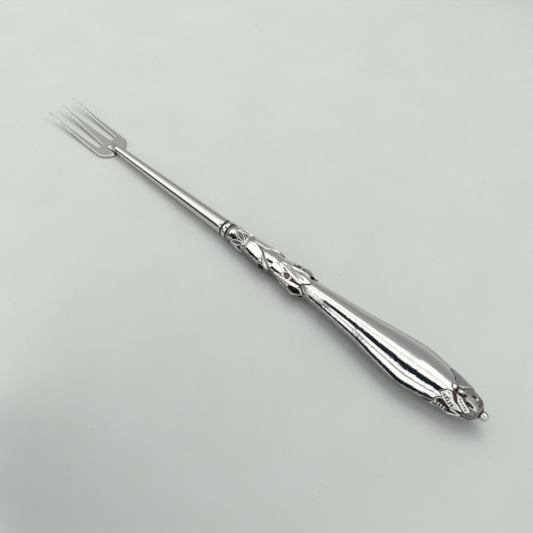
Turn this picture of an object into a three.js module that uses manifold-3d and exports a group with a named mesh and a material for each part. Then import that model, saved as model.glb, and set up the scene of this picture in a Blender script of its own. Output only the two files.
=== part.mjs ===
// Pickle fork with a loaded silver handle, lying face up as it rests on a table.
// Millimetres, +Z up. X runs along the fork from the tine tips to the ball finial.
// The origin is on the table, below the middle of the fork's length.
import * as THREE from 'three';
import { mergeVertices } from 'three/addons/utils/BufferGeometryUtils.js';
import Module from 'manifold-3d';

// Fork head, a stamped plate
const TINE_LENGTH = 30.5;
const ROOT_LENGTH = 7.4;
const PLATE_THICKNESS = 1.1;
const MIDDLE_TINE_WIDTH = 3.6;
const OUTER_TINE_WIDTH = 2.2;
const SLOT_WIDTH = 2.5;
const SHOULDER_RADIUS = 5.2;
const TIP_WIDTH = 0.35;
const TIP_THICKNESS = 0.55;
const TIP_RISE = 2.4;
const TIP_SPREAD = 11.9;

// Stem, with the tongue that laps the head and the tang that runs into the handle
const STEM_LENGTH = 59.3;
const STEM_HEAD_RADIUS = 1.63;
const STEM_MOUTH_RADIUS = 2.9;
const STEM_LIFT = 0.4;
const MOUTH_CHAMFER = 0.35;
const TONGUE_LENGTH = 5.8;
const NOSE_RADIUS = 1.15;
const SPIGOT_RADIUS = 1.8;
const TANG_RADIUS = 1.3;
const TANG_TIP_RADIUS = 0.6;
const TANG_LENGTH = 54;

// Mouth ring
const RING_WIDTH = 3.0;
const RING_RADIUS = 3.15;
const RING_GROOVE_DEPTH = 0.32;
const RING_GROOVE_WIDTH = 0.5;

// Calyx: collar, smooth band, wrapped sheath and flaring leaves, as distances from the mouth
const COLLAR_END = 10.2;
const BAND_END = 12.0;
const SHEATH_NOTCH = 13.8;
const SHEATH_TIP = 23.5;
const SHEATH_EDGE = 0.7;
const WAIST = 24.6;
const LEAF_FREE = 31.0;
const LEAF_NOTCH = 35.6;
const LEAF_TIP = 39.0;
const LEAF_DIP = 0.45;
const CALYX_LEAVES = 5;
const CALYX_WALL = 0.6;
const CALYX_BORE = 2.3;

// Body: two stamped half shells, as distances from the mouth
const BODY_START = 27.0;
const BELLY = 78.2;
const BODY_END = 96.0;
const BELLY_HALF_WIDTH = 7.9;
const BELLY_HALF_THICKNESS = 5.0;
const SHELL_WALL = 0.5;
const REST_DEPTH = 0.12;

// Leaf cap and ball finial, as distances from the mouth
const CAP_SIDE_TIP = 89.0;
const CAP_FACE_TIP = 90.4;
const CAP_BUD_TIP = 91.4;
const CAP_SIDE_NOTCH = 91.7;
const CAP_BUD_NOTCH = 93.0;
const CAP_END = 100.8;
const CAP_WALL = 0.38;
const CAP_CROWN = 0.12;
const BALL_CENTRE = 102.5;
const BALL_RADIUS = 1.45;
const FINIAL_NECK_RADIUS = 0.85;
const FINIAL_COLLAR_RADIUS = 1.05;
const FINIAL_PEG_RADIUS = 0.6;
const FINIAL_PEG_LENGTH = 3.3;

// Clearances
const FIT = 0.15;
const SEAT_GAP = 0.2;
const POUR_GAP = 0.3;

// Steps around and along the round pieces
const STEM_SIDES = 20;
const CALYX_SIDES = 40;
const CAP_SIDES = 48;
const RING_SIDES = 32;
const FILLING_SIDES = 20;
const FINIAL_SIDES = 18;

const DEGREE = Math.PI / 180;

const mix = THREE.MathUtils.lerp;
const collarAt = RING_WIDTH + FIT;

// Outlines along the handle: distance from the mouth, half width, half thickness
const SHEATH_OUTLINE = [
  [collarAt, 2.95, 2.95],
  [mix(collarAt, COLLAR_END, 0.35), 3.2, 3.12],
  [mix(collarAt, COLLAR_END, 0.85), 3.45, 3.3],
  [mix(COLLAR_END, BAND_END, 0.4), 3.28, 3.15],
  [BAND_END, 3.45, 3.26],
  [mix(BAND_END, WAIST, 0.2), 3.85, 3.42],
  [mix(BAND_END, WAIST, 0.45), 4.22, 3.5],
  [mix(BAND_END, WAIST, 0.7), 4.42, 3.56],
  [SHEATH_TIP, 4.2, 3.5],
];
const LEAF_OUTLINE = [
  [BAND_END, 3.3, 3.1],
  [mix(BAND_END, WAIST, 0.35), 3.85, 3.35],
  [mix(BAND_END, WAIST, 0.6), 3.95, 3.4],
  [mix(BAND_END, WAIST, 0.85), 3.68, 3.25],
  [WAIST, 3.47, 3.1],
  [mix(WAIST, LEAF_FREE, 0.45), 3.85, 3.35],
  [LEAF_FREE, 4.55, 3.68],
  [mix(LEAF_FREE, LEAF_TIP, 0.5), 5.1, 3.87],
  [mix(LEAF_FREE, LEAF_TIP, 0.76), 4.95, 3.85],
  [LEAF_TIP, 4.45, 3.74],
];
// The last column says how round the side edges are: 1 is an ellipse's curve, less is tighter
const BODY_OUTLINE = [
  [BODY_START, 2.8, 2.45, 1],
  [mix(BODY_START, BELLY, 0.11), 3.15, 2.75, 1],
  [mix(BODY_START, BELLY, 0.245), 3.54, 3.05, 0.95],
  [mix(BODY_START, BELLY, 0.38), 4.15, 3.48, 0.85],
  [mix(BODY_START, BELLY, 0.615), 5.35, 4.05, 0.6],
  [mix(BODY_START, BELLY, 0.77), 6.5, 4.5, 0.42],
  [mix(BODY_START, BELLY, 0.9), 7.42, 4.86, 0.3],
  [BELLY, BELLY_HALF_WIDTH, BELLY_HALF_THICKNESS, 0.28],
  [mix(BELLY, BODY_END, 0.3), 7.45, 4.84, 0.32],
  [mix(BELLY, BODY_END, 0.58), 6.4, 4.3, 0.5],
  [mix(BELLY, BODY_END, 0.83), 5.2, 3.6, 0.7],
  [BODY_END, 4.38, 3.05, 0.85],
  [mix(BODY_END, CAP_END, 0.45), 3.75, 2.7, 0.95],
  [mix(BODY_END, CAP_END, 0.8), 2.85, 2.15, 1],
  [CAP_END, 0.75, 0.7, 1],
];

// Smooth curve through the rows of an outline: a function of the first column
function through(rows) {
  const slope = (i, k) => {
    const before = rows[Math.max(i - 1, 0)];
    const after = rows[Math.min(i + 1, rows.length - 1)];
    return (after[k] - before[k]) / (after[0] - before[0]);
  };
  return (where) => {
    const last = rows.length - 1;
    const held = THREE.MathUtils.clamp(where, rows[0][0], rows[last][0]);
    let i = 0;
    while (i < last - 1 && held > rows[i + 1][0]) i += 1;
    const span = rows[i + 1][0] - rows[i][0];
    const u = (held - rows[i][0]) / span;
    return rows[i].slice(1).map((value, column) => {
      const k = column + 1;
      const rise = rows[i + 1][k] - value;
      const bend = (slope(i, k) * span - rise) * (1 - u) - (slope(i + 1, k) * span - rise) * u;
      return value + u * rise + u * (1 - u) * bend;
    });
  };
}

const sheathSize = through(SHEATH_OUTLINE);
const leafSize = through(LEAF_OUTLINE);
const bodySize = through(BODY_OUTLINE);

// Where the pieces lie along X, and the height of the fork's sloping axis
const heelAt = -STEM_LENGTH;
const slotEndAt = heelAt - ROOT_LENGTH;
const tipAt = slotEndAt - TINE_LENGTH;
const middle = (tipAt + BALL_CENTRE + BALL_RADIUS) / 2;
const heelAxis = STEM_LIFT + STEM_HEAD_RADIUS;
const bellyAxis = BELLY_HALF_THICKNESS - REST_DEPTH;
const axisSlope = (bellyAxis - heelAxis) / (BELLY - heelAt);

function axisHeight(along) {
  return bellyAxis + axisSlope * (along - BELLY);
}

// A point given by its distance from the mouth and its offset from the axis
function at(along, y, z) {
  return new THREE.Vector3(along - middle, y, axisHeight(along) + z);
}

// Lens section with rounded side edges, held as a sharp lens and an edge radius around it
function lens(halfWidth, halfThickness, roundness) {
  const edge = (roundness * halfThickness ** 2) / halfWidth;
  const width = halfWidth - edge;
  const thickness = halfThickness - edge;
  const arc = (width ** 2 + thickness ** 2) / (2 * thickness);
  return { edge, width, thickness, arc, corner: Math.asin(Math.min(width / arc, 1)) };
}

// Point of a lens where its face looks along the given angle from straight up
function lensFacing(section, angle, offset) {
  const sine = Math.sin(angle);
  const cosine = Math.cos(angle);
  const edge = section.edge + offset;
  if (Math.abs(sine) > Math.sin(section.corner)) {
    return [Math.sign(sine) * section.width + edge * sine, edge * cosine];
  }
  const drop = Math.sign(cosine) * (section.thickness - section.arc);
  return [(section.arc + edge) * sine, drop + (section.arc + edge) * cosine];
}

// Point of an ellipse-like ring: angle 0 is the top, a quarter turn is +Y
function oval([halfWidth, halfThickness], angle) {
  return [halfWidth * Math.sin(angle), halfThickness * Math.cos(angle)];
}

// Even steps from one place up to, but without, another
function spread(from, to, count) {
  return Array.from({ length: count }, (_, i) => mix(from, to, i / count));
}

function turnsOf(sides) {
  return Array.from({ length: sides }, (_, j) => (2 * Math.PI * j) / sides);
}

// Closed surface over rings of points. It joins the last ring to the first, or ends each side in a fan.
function skin(rings, joined) {
  const sides = rings[0].length;
  const points = rings.flat();
  const faces = [];
  const count = joined ? rings.length : rings.length - 1;
  for (let i = 0; i < count; i += 1) {
    const next = (i + 1) % rings.length;
    for (let j = 0; j < sides; j += 1) {
      const k = (j + 1) % sides;
      const [a, b, c, d] = [i * sides + j, next * sides + j, next * sides + k, i * sides + k];
      faces.push(a, b, d, b, c, d);
    }
  }
  if (!joined) {
    const centre = (ring) => ring.reduce((sum, p) => sum.add(p), new THREE.Vector3()).divideScalar(sides);
    const lastRing = (rings.length - 1) * sides;
    const start = points.push(centre(rings[0])) - 1;
    const end = points.push(centre(rings[rings.length - 1])) - 1;
    for (let j = 0; j < sides; j += 1) {
      const k = (j + 1) % sides;
      faces.push(start, j, k, end, lastRing + k, lastRing + j);
    }
  }
  return surface(points, faces);
}

// Half shell: each ring runs along the outside and back along the inside
function halfShell(outside, inside) {
  const width = outside[0].length;
  const rings = outside.map((row, i) => [...row, ...[...inside[i]].reverse()]);
  const sides = 2 * width;
  const faces = [];
  for (let i = 0; i < rings.length - 1; i += 1) {
    for (let j = 0; j < sides; j += 1) {
      const k = (j + 1) % sides;
      const [a, b, c, d] = [i * sides + j, (i + 1) * sides + j, (i + 1) * sides + k, i * sides + k];
      faces.push(a, b, d, b, c, d);
    }
  }
  const last = (rings.length - 1) * sides;
  for (let j = 0; j < width - 1; j += 1) {
    const inner = sides - 1 - j;
    faces.push(j, j + 1, inner, j + 1, inner - 1, inner);
    faces.push(last + j, last + inner, last + j + 1, last + j + 1, last + inner, last + inner - 1);
  }
  return surface(rings.flat(), faces);
}

function surface(points, faces) {
  const geometry = new THREE.BufferGeometry().setFromPoints(points);
  geometry.setIndex(faces);
  return geometry;
}

const wasm = await Module();
wasm.setup();

// Joins and cuts on closed geometry
function solid(geometry) {
  const bare = geometry.clone();
  bare.deleteAttribute('normal');
  bare.deleteAttribute('uv');
  const merged = mergeVertices(bare);
  return new wasm.Manifold(
    new wasm.Mesh({
      numProp: 3,
      vertProperties: merged.attributes.position.array,
      triVerts: new Uint32Array(merged.index.array),
    }),
  );
}

function geometryOf(made) {
  const mesh = made.getMesh();
  const geometry = new THREE.BufferGeometry();
  geometry.setAttribute('position', new THREE.BufferAttribute(new Float32Array(mesh.vertProperties), 3));
  geometry.setIndex([...mesh.triVerts]);
  return geometry;
}

// Root of the head: rounded shoulders behind, two slots with round ends in front
function headRoot() {
  const x = (along) => along - middle;
  const slotRadius = SLOT_WIDTH / 2;
  const stubAt = slotEndAt - slotRadius;
  const slotInner = MIDDLE_TINE_WIDTH / 2;
  const slotMiddle = slotInner + slotRadius;
  const slotOuter = slotInner + SLOT_WIDTH;
  const edge = slotOuter + OUTER_TINE_WIDTH;
  const shoulderAt = heelAt - SHOULDER_RADIUS;
  const outline = new THREE.Shape();
  outline.moveTo(x(stubAt), edge);
  outline.lineTo(x(stubAt), slotOuter);
  outline.absarc(x(stubAt), slotMiddle, slotRadius, Math.PI / 2, -Math.PI / 2, true);
  outline.lineTo(x(stubAt), -slotInner);
  outline.absarc(x(stubAt), -slotMiddle, slotRadius, Math.PI / 2, -Math.PI / 2, true);
  outline.lineTo(x(stubAt), -edge);
  outline.lineTo(x(shoulderAt), -edge);
  outline.absarc(x(shoulderAt), SHOULDER_RADIUS - edge, SHOULDER_RADIUS, -Math.PI / 2, 0, false);
  outline.lineTo(x(heelAt), edge - SHOULDER_RADIUS);
  outline.absarc(x(shoulderAt), edge - SHOULDER_RADIUS, SHOULDER_RADIUS, 0, Math.PI / 2, false);
  outline.closePath();
  const options = { depth: PLATE_THICKNESS, bevelEnabled: false, curveSegments: 8 };
  return new THREE.ExtrudeGeometry(outline, options);
}

// One tine: a bar that thins to its tip and curves up from the flat root
function tine(rootMiddle, tipMiddle, rootWidth) {
  const steps = 10;
  const stubAt = slotEndAt - SLOT_WIDTH / 2;
  const length = stubAt - tipAt;
  const bar = (along, t) => {
    const y = mix(rootMiddle, tipMiddle, t);
    const half = mix(rootWidth, TIP_WIDTH, t ** 1.25) / 2;
    const top = PLATE_THICKNESS + TIP_RISE * t ** 2;
    const bottom = top - mix(PLATE_THICKNESS, TIP_THICKNESS, t);
    return [[y - half, top], [y + half, top], [y + half, bottom], [y - half, bottom]].map(
      ([py, pz]) => new THREE.Vector3(along - middle, py, pz),
    );
  };
  const rings = [];
  for (let i = steps; i >= 0; i -= 1) rings.push(bar(stubAt - (length * i) / steps, i / steps));
  rings.push(bar(slotEndAt + SLOT_WIDTH / 2, 0));
  return skin(rings, false);
}

function forkHead() {
  const outerMiddle = MIDDLE_TINE_WIDTH / 2 + SLOT_WIDTH + OUTER_TINE_WIDTH / 2;
  let head = solid(headRoot()).add(solid(tine(0, 0, MIDDLE_TINE_WIDTH)));
  for (const side of [-1, 1]) {
    head = head.add(solid(tine(side * outerMiddle, (side * TIP_SPREAD) / 2, OUTER_TINE_WIDTH)));
  }
  return geometryOf(head);
}

// Tapered stem with a half-round tongue in front, a shoulder at the mouth and a tang behind it
function stem() {
  const noseAt = heelAt - TONGUE_LENGTH;
  const nose = (part) => [noseAt + TONGUE_LENGTH * part, mix(NOSE_RADIUS, STEM_HEAD_RADIUS, part)];
  const rows = [
    [noseAt, NOSE_RADIUS * 0.45],
    [noseAt + NOSE_RADIUS * 0.2, NOSE_RADIUS * 0.75],
    [noseAt + NOSE_RADIUS * 0.6, NOSE_RADIUS * 0.95],
    nose(0.3),
    nose(0.6),
    [heelAt, STEM_HEAD_RADIUS],
    [heelAt + STEM_LENGTH / 2, (STEM_HEAD_RADIUS + STEM_MOUTH_RADIUS) / 2],
    [-MOUTH_CHAMFER, STEM_MOUTH_RADIUS],
    [0, STEM_MOUTH_RADIUS - MOUTH_CHAMFER],
    [0, SPIGOT_RADIUS],
    [RING_WIDTH, SPIGOT_RADIUS],
    [RING_WIDTH, TANG_RADIUS],
    [RING_WIDTH + TANG_LENGTH, TANG_TIP_RADIUS],
  ];
  const rings = rows.map(([along, radius]) =>
    turnsOf(STEM_SIDES).map((angle) => at(along, ...oval([radius, radius], angle))),
  );
  const reach = 4 * STEM_HEAD_RADIUS;
  const lap = new THREE.BoxGeometry(TONGUE_LENGTH + reach, 2 * reach, reach);
  lap.translate(
    heelAt + POUR_GAP - (TONGUE_LENGTH + reach) / 2 - middle,
    0,
    PLATE_THICKNESS - reach / 2,
  );
  return geometryOf(solid(skin(rings, false)).subtract(solid(lap)));
}

// Bead ring between two grooves, sleeved on the stem's spigot
function mouthRing() {
  const bore = SPIGOT_RADIUS + FIT;
  const low = RING_RADIUS - RING_GROOVE_DEPTH;
  const profile = [new THREE.Vector2(bore, 0), new THREE.Vector2(low, 0)];
  const beadSteps = 8;
  for (let i = 0; i <= beadSteps; i += 1) {
    const part = i / beadSteps;
    const along = mix(RING_GROOVE_WIDTH, RING_WIDTH - RING_GROOVE_WIDTH, part);
    profile.push(new THREE.Vector2(low + RING_GROOVE_DEPTH * Math.sqrt(Math.sin(Math.PI * part)), along));
  }
  for (const [radius, along] of [[low, RING_WIDTH], [bore, RING_WIDTH], [bore, 0]]) {
    profile.push(new THREE.Vector2(radius, along));
  }
  const geometry = new THREE.LatheGeometry(profile, RING_SIDES);
  geometry.rotateZ(-Math.PI / 2);
  geometry.translate(-middle, 0, axisHeight(RING_WIDTH / 2));
  return geometry;
}

// Where the wrapped sheath ends: far along at the sides, a notch at the top and the bottom
function sheathEdge(angle) {
  return SHEATH_NOTCH + (SHEATH_TIP - SHEATH_NOTCH) * Math.abs(Math.sin(angle)) ** 0.55;
}

// 1 on a leaf's middle line and 0 between two leaves
function leafShare(angle, leaves) {
  return (1 + Math.cos(leaves * angle)) / 2;
}

function calyxSize(along, angle) {
  const edge = sheathEdge(angle);
  const past = THREE.MathUtils.smoothstep(along, edge - SHEATH_EDGE, edge + SHEATH_EDGE);
  const dip = LEAF_DIP * THREE.MathUtils.smoothstep(along, WAIST, LEAF_NOTCH);
  const hollow = dip * (1 - leafShare(angle, CALYX_LEAVES)) ** 3;
  const sheath = sheathSize(along);
  return leafSize(along).map((leaf, k) => mix(sheath[k], leaf, past) - hollow);
}

// Cast calyx: collar, band, sheath and leaves whose tips stand clear of the body
function calyx() {
  const turns = turnsOf(CALYX_SIDES);
  const stations = [
    ...spread(collarAt, COLLAR_END, 5),
    ...spread(COLLAR_END, BAND_END, 3),
    ...spread(BAND_END, WAIST, 10),
    ...spread(WAIST, LEAF_FREE, 4),
    LEAF_FREE,
  ];
  const leafEnd = (angle) =>
    LEAF_NOTCH + (LEAF_TIP - LEAF_NOTCH) * leafShare(angle, CALYX_LEAVES) ** 1.3;
  const leafAt = (angle, part) => mix(LEAF_FREE, leafEnd(angle), part);
  const parts = [0.25, 0.5, 0.7, 0.85, 1];
  const outer = (along, angle) => at(along, ...oval(calyxSize(along, angle), angle));
  const underLeaf = (along, angle) => {
    const seat = bodySize(along).map((half) => half + SEAT_GAP);
    const thick = calyxSize(along, angle).map((half) => half - CALYX_WALL);
    return at(along, ...oval([Math.max(seat[0], thick[0]), Math.max(seat[1], thick[1])], angle));
  };
  const seatAt = BODY_START - SEAT_GAP;
  const bodySeat = (along) => turns.map((angle) => {
    const seat = bodySize(along).map((half) => half + SEAT_GAP);
    return at(along, ...oval(seat, angle));
  });
  const bore = (along) => turns.map((angle) => at(along, ...oval([CALYX_BORE, CALYX_BORE], angle)));
  const rings = [
    ...stations.map((along) => turns.map((angle) => outer(along, angle))),
    ...parts.map((part) => turns.map((angle) => outer(leafAt(angle, part), angle))),
    ...[1, 0.6, 0.3].map((part) => turns.map((angle) => underLeaf(leafAt(angle, part), angle))),
    bodySeat(LEAF_FREE),
    bodySeat(seatAt),
    bore(seatAt),
    bore(collarAt),
  ];
  return skin(rings, true);
}

// Outline rows that the shells follow; the rows behind them shape only the leaf cap
const bodyRows = BODY_OUTLINE.map(([along]) => along).filter((along) => along <= BODY_END);

function bodySection(along) {
  return lens(...bodySize(along));
}

// One half of the body: 0 is the half with the top, 180 degrees the half with the worn rest below
function bodyHalf(centre) {
  const facing = [-90, -80, -66, -56, -44, -31, -18, -6, 6, 18, 31, 44, 56, 66, 80, 90];
  const halves = bodyRows.slice(0, -1).flatMap((from, i) => spread(from, bodyRows[i + 1], 2));
  const stations = [...halves, BODY_END];
  const row = (along, offset) => facing.map((angle) => {
    const [y, z] = lensFacing(bodySection(along), (centre + angle) * DEGREE, offset);
    const point = at(along, y, z);
    point.z = Math.max(point.z, 0);
    return point;
  });
  return halfShell(
    stations.map((along) => row(along, 0)),
    stations.map((along) => row(along, -SHELL_WALL)),
  );
}

// Point on the body's section in the direction that an ellipse of its size has at this angle
function onBody(along, angle, offset) {
  const size = bodySize(along);
  const section = bodySection(along);
  const edge = section.edge + offset;
  const [y, z] = oval(size, Math.abs(angle));
  const reach = Math.hypot(y, z);
  const [sine, cosine] = [Math.abs(y) / reach, Math.abs(z) / reach];
  const drop = section.thickness - section.arc;
  const onArc = drop * cosine + Math.sqrt((section.arc + edge) ** 2 - (drop * sine) ** 2);
  const facingArc = Math.atan2(onArc * sine, onArc * cosine - drop);
  const beside = Math.max(edge ** 2 - (section.width * cosine) ** 2, 0);
  const radius = facingArc > section.corner ? section.width * sine + Math.sqrt(beside) : onArc;
  return at(along, Math.sign(Math.sin(angle)) * radius * sine, Math.sign(z) * radius * cosine);
}

// Leaf cap over the body's rear end: leaf tips point towards the belly, a hole for the finial behind
function leafCap() {
  const turns = turnsOf(CAP_SIDES);
  const edge = through([
    [0, CAP_BUD_TIP],
    [14, CAP_BUD_NOTCH],
    [22, mix(CAP_FACE_TIP, CAP_BUD_NOTCH, 0.3)],
    [34, CAP_FACE_TIP],
    [45, mix(CAP_FACE_TIP, CAP_SIDE_NOTCH, 0.3)],
    [52, CAP_SIDE_NOTCH],
    [62, mix(CAP_SIDE_TIP, CAP_SIDE_NOTCH, 0.5)],
    [90, CAP_SIDE_TIP],
  ]);
  const fold = (angle) => Math.asin(Math.min(Math.abs(Math.sin(angle)), 1)) / DEGREE;
  const front = (angle) => edge(fold(angle))[0];
  const share = (angle) => (CAP_BUD_NOTCH - front(angle)) / (CAP_BUD_NOTCH - CAP_SIDE_TIP);
  const capAt = (angle, part) => mix(front(angle), CAP_END, part);
  const parts = [0, 0.14, 0.3, 0.46, 0.6, 0.72, 0.82, 0.91, 1];
  const inner = (part) => turns.map((angle) => onBody(capAt(angle, part), angle, SEAT_GAP));
  const outer = (part) => turns.map((angle) => {
    const crown = CAP_CROWN * share(angle) * Math.sin(Math.PI * part);
    return onBody(capAt(angle, part), angle, SEAT_GAP + CAP_WALL + crown);
  });
  return skin([...parts.map(outer), ...[...parts].reverse().map(inner)], true);
}

// Ball finial with a short neck, a collar on the cap and a peg through the cap's hole
function finial() {
  const seatAt = CAP_END + FIT;
  const neckAngle = Math.asin(FINIAL_NECK_RADIUS / BALL_RADIUS);
  const neckAt = BALL_CENTRE - BALL_RADIUS * Math.cos(neckAngle);
  const profile = [
    [0, CAP_END - FINIAL_PEG_LENGTH],
    [FINIAL_PEG_RADIUS, CAP_END - FINIAL_PEG_LENGTH],
    [FINIAL_PEG_RADIUS, seatAt],
    [FINIAL_COLLAR_RADIUS, seatAt],
    [FINIAL_COLLAR_RADIUS, mix(seatAt, neckAt, 0.5)],
  ];
  const ballSteps = 10;
  for (let i = 0; i <= ballSteps; i += 1) {
    const angle = mix(neckAngle, Math.PI, i / ballSteps);
    const radius = i === ballSteps ? 0 : BALL_RADIUS * Math.sin(angle);
    profile.push([radius, BALL_CENTRE - BALL_RADIUS * Math.cos(angle)]);
  }
  const points = profile.map(([radius, along]) => new THREE.Vector2(radius, along));
  const geometry = new THREE.LatheGeometry(points, FINIAL_SIDES);
  geometry.rotateZ(-Math.PI / 2);
  geometry.translate(-middle, 0, axisHeight(BALL_CENTRE));
  return geometry;
}

// Pitch that fills the calyx and the body and holds the tang
function filling() {
  const turns = turnsOf(FILLING_SIDES);
  const tangEnd = RING_WIDTH + TANG_LENGTH;
  const start = collarAt + SEAT_GAP;
  const end = BODY_END - SEAT_GAP;
  const round = (along, radius) => turns.map((angle) => at(along, ...oval([radius, radius], angle)));
  const moulded = (along) => turns.map((angle) => onBody(along, angle, -SHELL_WALL - SEAT_GAP));
  const neckRadius = CALYX_BORE - SEAT_GAP;
  const rings = [
    round(tangEnd + POUR_GAP, TANG_TIP_RADIUS + POUR_GAP),
    round(start, TANG_RADIUS + POUR_GAP),
    round(start, neckRadius),
    round(BODY_START - SEAT_GAP, neckRadius),
    ...[BODY_START + SEAT_GAP, ...bodyRows.slice(1, -1), end].map(moulded),
  ];
  return skin(rings, false);
}

const silver = new THREE.MeshStandardMaterial({ color: 0xdcdad4, roughness: 0.16, metalness: 1 });
const forkSilver = new THREE.MeshStandardMaterial({ color: 0xcfcec9, roughness: 0.24, metalness: 1 });
const pitch = new THREE.MeshStandardMaterial({ color: 0x3a2a20, roughness: 0.85, metalness: 0 });

const pieces = [
  ['fork_head', forkHead(), forkSilver],
  ['stem_with_tang', stem(), forkSilver],
  ['mouth_ring', mouthRing(), silver],
  ['neck_calyx', calyx(), silver],
  ['handle_front_shell', bodyHalf(0), silver],
  ['handle_back_shell', bodyHalf(180), silver],
  ['leaf_cap', leafCap(), silver],
  ['ball_finial', finial(), silver],
  ['pitch_filling', filling(), pitch],
];

const pickleFork = new THREE.Group();
for (const [name, geometry, material] of pieces) {
  const mesh = new THREE.Mesh(geometry, material);
  mesh.name = name;
  pickleFork.add(mesh);
}

export default pickleFork;
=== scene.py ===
"""Pickle fork with a loaded silver handle, lying on a pale table, seen from above its finial end."""

import math

import bpy
import numpy as np
from mathutils import Matrix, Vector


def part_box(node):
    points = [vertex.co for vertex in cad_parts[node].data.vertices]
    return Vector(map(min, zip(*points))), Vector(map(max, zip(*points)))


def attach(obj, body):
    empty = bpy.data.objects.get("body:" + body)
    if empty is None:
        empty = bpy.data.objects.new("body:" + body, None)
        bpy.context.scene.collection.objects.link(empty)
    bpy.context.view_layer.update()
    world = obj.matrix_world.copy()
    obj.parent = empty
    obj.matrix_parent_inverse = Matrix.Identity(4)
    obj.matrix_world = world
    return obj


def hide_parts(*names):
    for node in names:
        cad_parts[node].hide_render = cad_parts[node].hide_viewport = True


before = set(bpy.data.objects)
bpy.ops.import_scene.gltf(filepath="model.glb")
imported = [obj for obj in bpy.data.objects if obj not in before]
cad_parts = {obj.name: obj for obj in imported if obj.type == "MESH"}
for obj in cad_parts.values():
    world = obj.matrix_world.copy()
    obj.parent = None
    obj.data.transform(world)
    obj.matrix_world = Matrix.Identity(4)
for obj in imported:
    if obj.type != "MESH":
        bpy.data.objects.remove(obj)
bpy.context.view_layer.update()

# Lengths below are in millimetres; MM turns them into metres
MM = 0.001

# Places along X that come from the frame
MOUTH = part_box("mouth_ring")[0].x / MM
RING_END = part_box("mouth_ring")[1].x / MM - MOUTH
TINE_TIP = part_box("fork_head")[0].x / MM
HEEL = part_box("fork_head")[1].x / MM
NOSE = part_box("stem_with_tang")[0].x / MM
FINIAL_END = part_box("ball_finial")[1].x / MM - MOUTH
BODY_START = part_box("handle_front_shell")[0].x / MM - MOUTH
BODY_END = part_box("handle_front_shell")[1].x / MM - MOUTH
COLLAR_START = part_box("neck_calyx")[0].x / MM - MOUTH
LEAF_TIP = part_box("neck_calyx")[1].x / MM - MOUTH
CAP_SIDE_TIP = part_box("leaf_cap")[0].x / MM - MOUTH
CAP_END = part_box("leaf_cap")[1].x / MM - MOUTH
BELLY_HALF_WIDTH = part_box("handle_front_shell")[1].y / MM

# The fork's sloping axis: its height at the heel and at the belly
HEEL_AXIS = 2.03
BELLY_AXIS = 4.88
BELLY = 78.2
AXIS_SLOPE = (BELLY_AXIS - HEEL_AXIS) / (BELLY - (HEEL - MOUTH))

# Fork head
PLATE_THICKNESS = 1.1
ROOT_LENGTH = 7.4
MIDDLE_TINE_WIDTH = 3.6
OUTER_TINE_WIDTH = 2.2
SLOT_WIDTH = 2.5
SHOULDER_RADIUS = 5.2
TIP_WIDTH = 0.35
TIP_THICKNESS = 0.55
TIP_RISE = 2.4
TIP_SPREAD = 11.9
EDGE_ROUNDING = 0.42
HEAD_CELL = 0.14

# Stem, ring and finial
STEM_HEAD_RADIUS = 1.63
STEM_MOUTH_RADIUS = 2.9
MOUTH_CHAMFER = 0.35
NOSE_LENGTH = 1.3
NOSE_HEIGHT = 0.65
SOLDER_LUMPS = 0.06
RING_RADIUS = 3.15
GROOVE_DEPTH = 0.4
GROOVE_WIDTH = 0.5
BALL_RADIUS = 1.45
FINIAL_NECK_RADIUS = 1.2
FINIAL_CONE_RADIUS = 2.2
FINIAL_STUB_RADIUS = 0.6
FINIAL_STUB_LENGTH = 1.0
ROUND_COLUMNS = 72
FINIAL_COLUMNS = 48

# Calyx, as distances from the mouth and angles in degrees; a DEGREE is the length of one on the surface
COLLAR_END = 10.2
BAND_END = 12.0
SHEATH_SPOT = 21.2
WAIST = 24.6
LEAF_FREE = 31.0
SPOON_MIDDLE = 35.7
LEAF_NOTCH = 36.6
LEAVES = 5
LEAF_TURN = -1.0
LEAF_WALL = 0.45
CALYX_BORE = 2.3
CALYX_DEGREE = 0.072

# Pairs of small leaves on the calyx's collar, in the same measures
COLLAR_PAIRS = 4
COLLAR_TURN = -38.0
COLLAR_SPREAD = 24.0
COLLAR_SLANT = 5.6
COLLAR_MIDDLE = 8.6
COLLAR_HALF_LENGTH = 2.8
COLLAR_HALF_ANGLE = 17.0
COLLAR_DEGREE = 0.06
GROUND_MIDDLE = 6.4

# Leaf cap, as distances from the mouth; LIFT is its height over the body
CAP_FACE_TIP = 90.2
CAP_BUD_TIP = 91.4
CAP_SIDE_NOTCH = 91.5
CAP_BUD_NOTCH = 93.0
CAP_FAR_TIP = 88.4
CAP_SWELL = 95.0
CAP_TAIL = 98.4
CAP_LIFT = 0.5
CAP_DEGREE = 0.085

# Painted shade on the body, on its sides behind the calyx and on its near rim before the cap
CALYX_SHADE_END = 44.0
CAP_SHADE_START = 84.5
CAP_SHADE_FULL = 87.5

# Camera, fitted to the photo: focal length in pixels of a 533 pixel wide frame, angles in degrees
FRAME_PIXELS = 533
FOCAL_PIXELS = 700
CAMERA_PLACE = (120.85, -106.0, 177.4)
CAMERA_ELEVATION = 50.1
CAMERA_AZIMUTH = 44.62


def mix(a, b, part):
    return a + (b - a) * part


def ramp(low, high, value):
    """0 up to low, 1 from high on, smooth in between; low may be the larger one."""
    part = np.clip((value - low) / (high - low), 0, 1)
    return part * part * (3 - 2 * part)


def between(low, high, blur, value):
    """1 from low to high, falling to 0 over the blur on both sides."""
    return ramp(low - blur, low, value) * ramp(high + blur, high, value)


def bump(distance, width):
    """1 at distance 0, falling to 0 over about twice the width."""
    return np.exp(-((distance / width) ** 2))


def highest(*layers):
    """The largest of some layers, point by point."""
    return np.maximum.reduce(np.broadcast_arrays(*layers))


def oval(along, across, middle, half_length, half_width):
    """1 on an oval's edge and less inside it; its middle lies at a place along the handle."""
    return np.hypot((along - middle) / half_length, across / half_width)


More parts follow.
